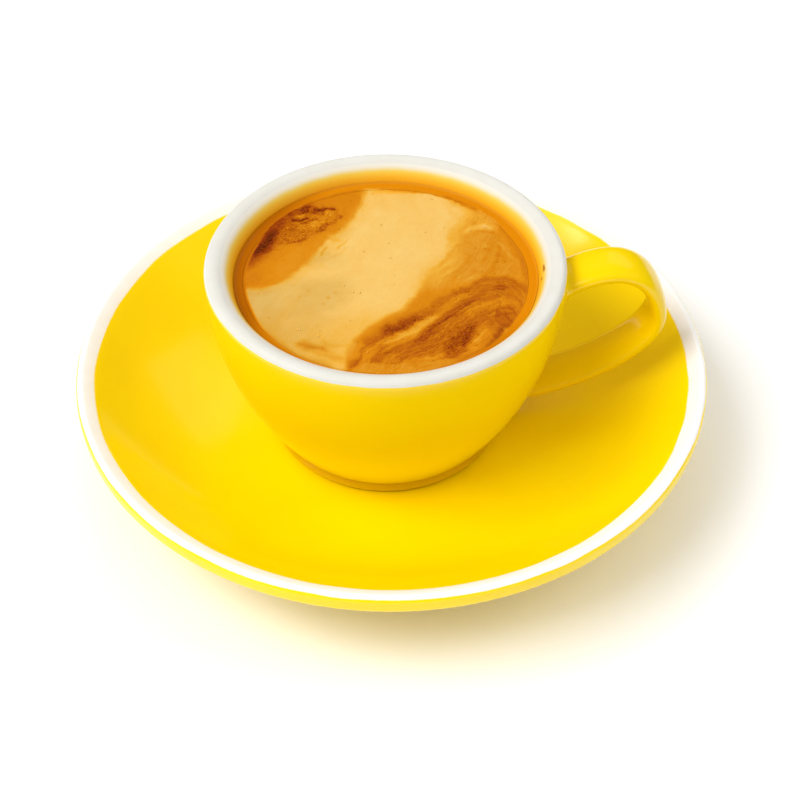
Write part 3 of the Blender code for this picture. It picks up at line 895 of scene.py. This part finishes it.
def paintSwirl(paint):
    # Nested streaks at the lower right, below the swirl's upper line
    lay, brush, under, swirl = paint.lay, paint.brush, paint.under, paint.swirl
    fineSwirl = streaks(swirl, paint.swirlAlong, 0.55, 10, 95, 3)
    shallow = 1 - smooth(1, 7, -swirl)
    lay(under, tone=0.65, froth=0.2, light=1)
    lay(under * shallow * smooth(22, 30, paint.swirlAlong) * 0.8, tone=0.69)
    lay(smooth(1.5, 0.2, np.abs(swirl)) * smooth(20, 27, paint.swirlAlong) * 0.7, tone=0.76, froth=0.35)
    paint.fields["tone"] += 0.26 * paint.swirlWisps * under
    paint.fields["tone"] += 0.12 * fineSwirl * under
    brush([*swirlLine[2:6], (7.5, -10.6), (10, -8.2)], 3.6, 2.4, tone=0.7, froth=0.3)
    brush([(-2.5, -16), (0, -15), (2.5, -13.8), (5, -12.2), (7, -11)], 1.9, 1.8, 0.9, tone=0.86, froth=0.7)
    brush([(-2, -18.5), (0, -17.5), (2.5, -16), (4.5, -14.8), (7, -12.8), (9, -11.3), (10.5, -10)],
          1.4, 1.4, 0.9, tone=0.3, froth=0.2)
    brush([(2.5, -19.5), (4.5, -17.8), (6.3, -15.8), (8, -14.3), (9.5, -13), (11.5, -11.3), (13, -10.2),
           (14.5, -9)], 1.3, 1.5, 0.85, tone=0.83, froth=0.6)
    brush([(9, -11.8), (11.5, -9.9), (14, -8.6), (17, -7)], 0.7, 1, 0.7, tone=0.84, froth=0.4)
    brush([(4, -22), (8, -18.6), (10.5, -14.5), (13, -12)], 2.2, 2, 0.6, tone=0.66, froth=0.4)
    brush([(6.5, -9.4), (9, -8.4), (11, -6.2)], 2, 2, 0.7, tone=0.68, froth=0.3)
    paint.patch([(15, -11.5), (19, -11), (23.5, -11), (23, -13.6), (18, -13.8), (15, -13.5)], 2, 0.7,
                tone=0.7)
    for knots, width, tone in (
        ([(14, -9.2), (16, -8.6), (18, -7), (20, -6), (21.3, -6.8), (21, -8)], 0.6, 0.76),
        ([(15, -11.5), (17, -10.5), (19, -10), (21, -9.8), (22.7, -9)], 0.5, 0.76),
        ([(17, -12), (20, -11.4), (22.5, -11)], 0.4, 0.8),
        ([(13, -11), (16, -9.5), (19, -8), (20.5, -7.2)], 0.7, 0.46),
        ([(16.5, -10), (19, -9), (22, -8.4)], 0.5, 0.5),
    ):
        brush(knots, width, 0.9, 0.8, tone=tone, froth=0.3)
    brush([(8.6, -22.6), (9.5, -21), (10.5, -19.3), (11.5, -17.8), (12.8, -16), (14, -14.8), (15, -14),
           (16.5, -13.2)], 2.2, 2.2, 0.9, tone=0.83, froth=0.8)
    brush([(12.2, -20), (13, -17), (14.5, -15.5)], 1, 1.2, 0.8, tone=0.93, froth=0.8)
    brush([(13, -22), (14, -19.5), (15, -17.8), (16.5, -16), (18.5, -14.5)], 1.6, 1.2, tone=0.49)
    brush([(14, -18.4), (16, -17)], 0.7, 0.6, 0.8, tone=0.36)
    # A dark purple-brown lobe and a lighter orange spot by the right front edge: painted reflections in the
    # drink
    brush([(14.5, -22.5), (16.5, -20.6), (18.2, -18.6), (19, -16.4), (20.4, -15), (22, -14.5), (23, -13.8)],
          2.2, 1.2, 0.9, tone=0.78, light=0.86)
    paint.dab(20.6, -16.8, 1.5, 1.2, tone=0.34, light=1.08)
    edge = smooth(22.5, 24, paint.x) * smooth(6, 8, -paint.y) * (1 - smooth(12, 14, -paint.y))
    lay(edge * 0.6, tone=0.55, light=0.92)


def paintFront(paint):
    # Front band, the lower left and the dots
    brush = paint.brush
    brush([(-5.2, -22.6), (-3, -23.1), (0, -23.4), (5, -23), (8, -22.4), (11, -22.2)], 0.3, 0.4, 0.5,
          tone=0.7)
    paint.patch([(-4.5, -22.4), (0, -23.4), (5, -23), (10, -22.3), (13, -26), (0, -28), (-8, -26)], 0.8,
                tone=0.46, light=0.95)
    brush([(-17.5, -16.2), (-15.3, -17), (-13.7, -18), (-11.5, -18.8), (-9, -20.2)], 1.4, 1.8, tone=0.5)
    # Brown along the lower left edge, darkened with painted shade under the front-left rim
    brush([(-24, -11), (-22.5, -13.8), (-20, -16.4), (-17, -19.3), (-13, -22.2), (-10, -23.7)], 1.6, 1.6,
          0.8, 0.1, tone=0.4, light=0.88)
    brush([(-15, -18.6), (-12, -20), (-8.6, -21.4), (-6, -21.6)], 1, 1.6, 0.8, tone=0.38)
    brush([(-12, -15.8), (-10.4, -17.6), (-7.6, -18.6), (-5.6, -17.6)], 0.5, 1.2, 0.6, tone=0.36)
    brush([(-4.2, -16.5), (-6, -19.5), (-7.2, -22.3)], 2.2, 2, 0.8, tone=0.36)
    brush([(-3.7, -15.5), (-5, -18), (-6.5, -21), (-7.5, -22.3)], 0.7, 1, 0.6, tone=0.55)
    for x, y in ((-15.5, -4.8), (-13.5, -3.5), (-10.2, -5.5), (-11, -6.7), (-9, -4.5), (-20.7, -10.5),
                 (2.2, 25.3), (-1, 24)):
        paint.dab(x, y, 0.2, 0.35, 0.5, tone=0.5)


def paintRing(paint):
    # The ring of clear coffee outside the foam: brown on the left, partly thicker coffee and partly painted
    # shade; orange at the back and right, lifted with painted light as if lit through the drink
    lay, angle = paint.lay, paint.angle
    leftSide = smooth(0.25, 0.8, -np.cos(angle)) * smooth(-0.7, -0.3, np.sin(angle))
    backSide = smooth(0.45, 0.9, np.cos(angle - 1.15))
    frontSide = smooth(0.4, 0.8, -np.sin(angle))
    farSide = smooth(0.3, 0.7, np.sin(angle))
    past = paint.radius - paint.foamEdge + 0.3 * leftSide - 0.5 * frontSide - 0.8 * farSide
    outside = smooth(-0.5, 0.3, past)
    lay(outside, tone=0.52, clear=1, froth=0, light=1.16)
    lay(outside * backSide, tone=0.5, light=1.08)
    lay(outside * frontSide, tone=0.58, light=1)
    lay(outside * leftSide, tone=0.67, light=0.95)


def paintDrink(x, y):
    paint = Paint(x, y)
    for stage in (paintMiddle, paintAmberLobe, paintSmear, paintBack, paintTanLobe, paintRightEdge,
                  paintSwirl, paintFront, paintRing):
        stage(paint)
    fields, past, under = paint.fields, paint.past, paint.under
    mottle = layeredNoise(paint.x, paint.y, 3.2, 21, 4)
    fine = layeredNoise(paint.x, paint.y, 0.8, 31, 2)
    drift = streaks(past, paint.pastAlong, 2.4, 5, 41, 4)
    foam = 1 - fields["clear"]
    pale = 1 - smooth(0.15, 0.4, fields["tone"])
    fields["tone"] += foam * (0.03 * mottle + (0.02 + 0.05 * fields["froth"]) * fine + 0.05 * drift * pale)
    fields["tone"] = np.clip(fields["tone"], 0, 1)
    # Where the finest streaks run, for the shader
    inSwirl = under > 0.5
    fields["across"] = np.where(inSwirl, paint.swirl, past) / 0.42
    fields["along"] = np.where(inSwirl, paint.swirlAlong, paint.pastAlong) / 4.5
    fields["wisp"] = foam * (0.08 + 0.08 * smooth(-2, 2, past) + 0.26 * under)
    return fields


cremaLook = {
    # From pale foam to the darkest smear
    "tones": [
        (0, (0.720, 0.466, 0.136, 1)), (0.25, (0.672, 0.340, 0.032, 1)), (0.5, (0.565, 0.196, 0.002, 1)),
        (0.7, (0.405, 0.102, 0.001, 1)), (0.86, (0.255, 0.037, 0.001, 1)), (1, (0.105, 0.014, 0.001, 1)),
    ],
    "mottle": 0.55, "speck": 0.16, "fineBump": 0.3, "pitsPerMm": 4.5,  # sizes in mm
    "pitDepth": 0.00006, "bumpDepth": 0.00005,  # m
    "clearRoughness": 0.06, "specular": 0.05, "coat": 0.12, "coatRoughness": 0.05,
}


def makeCremaFinish(name, foamRoughness, look):
    finish = Finish(name)
    froth, clear, tone = (finish.attribute(key) for key in ("froth", "clear", "tone"))
    across, along, wisp = (finish.attribute(key) for key in ("across", "along", "wisp"))
    sockets = {"Vector": finish.place(), "Scale": look["pitsPerMm"]}
    cells = finish.node("ShaderNodeTexVoronoi", {"feature": "F1"}, sockets)
    mottled = finish.noise(look["mottle"], 4, 0.72)
    specks = finish.noise(look["speck"], 3, 0.7)
    flow = finish.node("ShaderNodeCombineXYZ", None, {"X": across, "Y": along})
    sockets = {"Vector": flow, "Scale": 1, "Detail": 4, "Roughness": 0.65}
    hairs = finish.node("ShaderNodeTexNoise", None, sockets)
    foam = 1 - clear
    grainy = (specks - 0.5) * (froth * 0.3 + 0.10) * foam
    shade = tone + froth * (mottled - 0.5) + grainy + (hairs - 0.5) * wisp
    colour = finish.ramp(look["tones"], shade)
    pits = finish.bump(cells * foam, 0.3, look["pitDepth"])
    # The ramp's colour is scaled by the painted light and shade
    return finish.set({
        "Base Color": finish.vector("SCALE", {0: colour, 3: finish.attribute("light")}),
        "Roughness": foam * foamRoughness + look["clearRoughness"],
        "Normal": finish.bump(finish.noise(look["fineBump"]), foam * 0.3, look["bumpDepth"], pits),
        "Specular IOR Level": look["specular"],
        "Coat Weight": clear * look["coat"],
        "Coat Roughness": look["coatRoughness"],
    })


cremaFinish = makeCremaFinish("cremaFoam", 0.44, cremaLook)
coffeeFinish = makeCremaFinish("coffeeLiquid", 0.3, cremaLook)


def makeCrema(setup):
    cells = setup["cells"]
    grid = np.linspace(-1, 1, cells + 1)
    u, v = (part.ravel() for part in np.meshgrid(grid, grid, indexing="ij"))
    x, y = u * np.sqrt(1 - v**2 / 2), v * np.sqrt(1 - u**2 / 2)
    edge = cremaEdge(x, y)
    x, y = x * edge, y * edge
    fields = paintDrink(x, y)
    radius = np.hypot(x, y)
    # Heights in mm: broad waves, froth, hollows where the foam is darkest, and a rounded edge
    relief = 0.10 * layeredNoise(x, y, 4, 51, 2) + 0.05 * layeredNoise(x, y, 0.9, 61, 2) * fields["froth"]
    relief -= 0.10 * smooth(0.5, 0.95, fields["tone"])
    inward = edge - radius
    rounding = -0.06 * (1 - smooth(0, 0.6, inward))
    z = level - 0.08 + relief * smooth(0, 1.5, inward) + rounding
    count = cells + 1
    index = np.arange(count * count).reshape(count, count)
    quads = np.stack([index[:-1, :-1], index[1:, :-1], index[1:, 1:], index[:-1, 1:]], -1).reshape(-1, 4)
    faces = np.concatenate([quads[:, [0, 1, 2]], quads[:, [0, 2, 3]]])
    border = np.concatenate([index[:-1, 0], index[-1, :-1], index[:0:-1, -1], index[0, :0:-1]])
    under = level - setup["cremaThickness"]
    low = np.stack([x[border], y[border], np.full(len(border), under)], 1)
    points = np.concatenate([np.stack([x, y, z], 1), low, [[0, 0, under]]])
    lower = count * count + np.arange(len(border))
    nextBorder, nextLower = np.roll(border, -1), np.roll(lower, -1)
    skirt = [np.stack([border, lower, nextLower], 1), np.stack([border, nextLower, nextBorder], 1)]
    bottom = np.stack([np.full(len(border), len(points) - 1), nextLower, lower], 1)
    faces = np.concatenate([faces, *skirt, bottom])
    attributes = {}
    for key, values in fields.items():
        attributes[key] = np.concatenate([values, values[border], values[:1]])
    points = points + np.array(cup["shift"])
    piece = makePiece("cremaFoam", points, faces, cremaFinish, attributes, crisp=True)
    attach(piece, "root")
    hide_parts("crema")
    return x, y, z, fields


cremaSurface = makeCrema(drink)
print("crema made")


def makeCoffee(setup):
    turns, gap = setup["turns"], setup["gap"]
    angles = np.arange(turns) * math.tau / turns
    edge = cremaEdge(np.cos(angles), np.sin(angles)) + 0.012  # just clear of the foam
    wall = insideRadius(level + 0.4) - 0.05
    under = level - setup["cremaThickness"] - gap
    profile = [(0, under), (edge, under), (edge, level - 0.2)]
    # From the foam out to the wall, up which the drink creeps
    for share in 1 - np.linspace(1, 0, setup["ringSteps"]) ** 2.2:
        radius = edge + (wall - edge) * share
        rise = setup["meniscus"] * np.exp(-np.sqrt((wall - radius) / setup["creep"]))
        reach = np.array([insideRadius(level + r) for r in rise])
        profile.append((np.minimum(radius, reach - 0.01), level - 0.12 + rise * smooth(0, 0.6, share)))
    for height in np.concatenate([np.linspace(level - 0.5, 12, 16), np.linspace(11, cup["floor"] + gap, 10)]):
        profile.append((insideRadius(height) - gap * (0.3 if height > level - 1 else 1), height))
    points, faces = ringBody([*profile, (0, cup["floor"] + gap)], turns)
    fields = paintDrink(points[:, 0], points[:, 1])
    # Where the drink climbs the wall it is thin: lighter in tone, with painted light added
    thin = np.clip((points[:, 2] - level) / setup["meniscus"], 0, 1)
    fields["tone"] = fields["tone"] * (1 - 0.4 * thin)
    fields["light"] = fields["light"] + 0.2 * thin
    points = points + np.array(cup["shift"])
    piece = makePiece("coffeeLiquid", points, faces, coffeeFinish, fields, crisp=True)
    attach(piece, "root")
    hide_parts("coffee")


makeCoffee(drink)
print("coffee made")


# Bubbles in the froth

bubbles = {
    "count": 1700, "smallest": 0.06, "largest": 0.3, "tries": 60000, "seed": 7, "reach": 24.2,
    "rings": 3, "sides": 9, "rise": 0.75, "depth": 0.5,  # the last two as shares of its radius
}


def makeBubbles(setup):
    rng = np.random.default_rng(setup["seed"])
    x, y, z, fields = cremaSurface
    picks = rng.integers(0, len(x), setup["tries"])
    chance = 0.004 + 0.30 * fields["froth"][picks] ** 1.5
    kept = (rng.random(len(picks)) < chance) & (np.hypot(x[picks], y[picks]) < setup["reach"])
    keep = picks[kept][: setup["count"]]
    size = setup["smallest"] + (setup["largest"] - setup["smallest"]) * rng.random(len(keep)) ** 3.0
    profile = arc((0, 0), (1, setup["rise"]), math.pi / 2, 0, setup["rings"]) + [(0, -setup["depth"])]
    dome, faces = ringBody(profile, setup["sides"])
    places = np.stack([x[keep], y[keep], z[keep] - 0.02], 1)
    points = (places[:, None] + dome[None] * size[:, None, None]).reshape(-1, 3)
    faces = (faces[None] + (np.arange(len(keep)) * len(dome))[:, None, None]).reshape(-1, 3)
    tone = np.repeat(np.clip(fields["tone"][keep] + rng.uniform(-0.1, 0.02, len(keep)), 0, 1), len(dome))
    attributes = {"tone": tone, "clear": tone * 0 + 0.8, "light": tone * 0 + 1}
    piece = makePiece("cremaBubbles", points + np.array(cup["shift"]), faces, cremaFinish, attributes)
    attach(piece, "root")


makeBubbles(bubbles)
print("bubbles made")
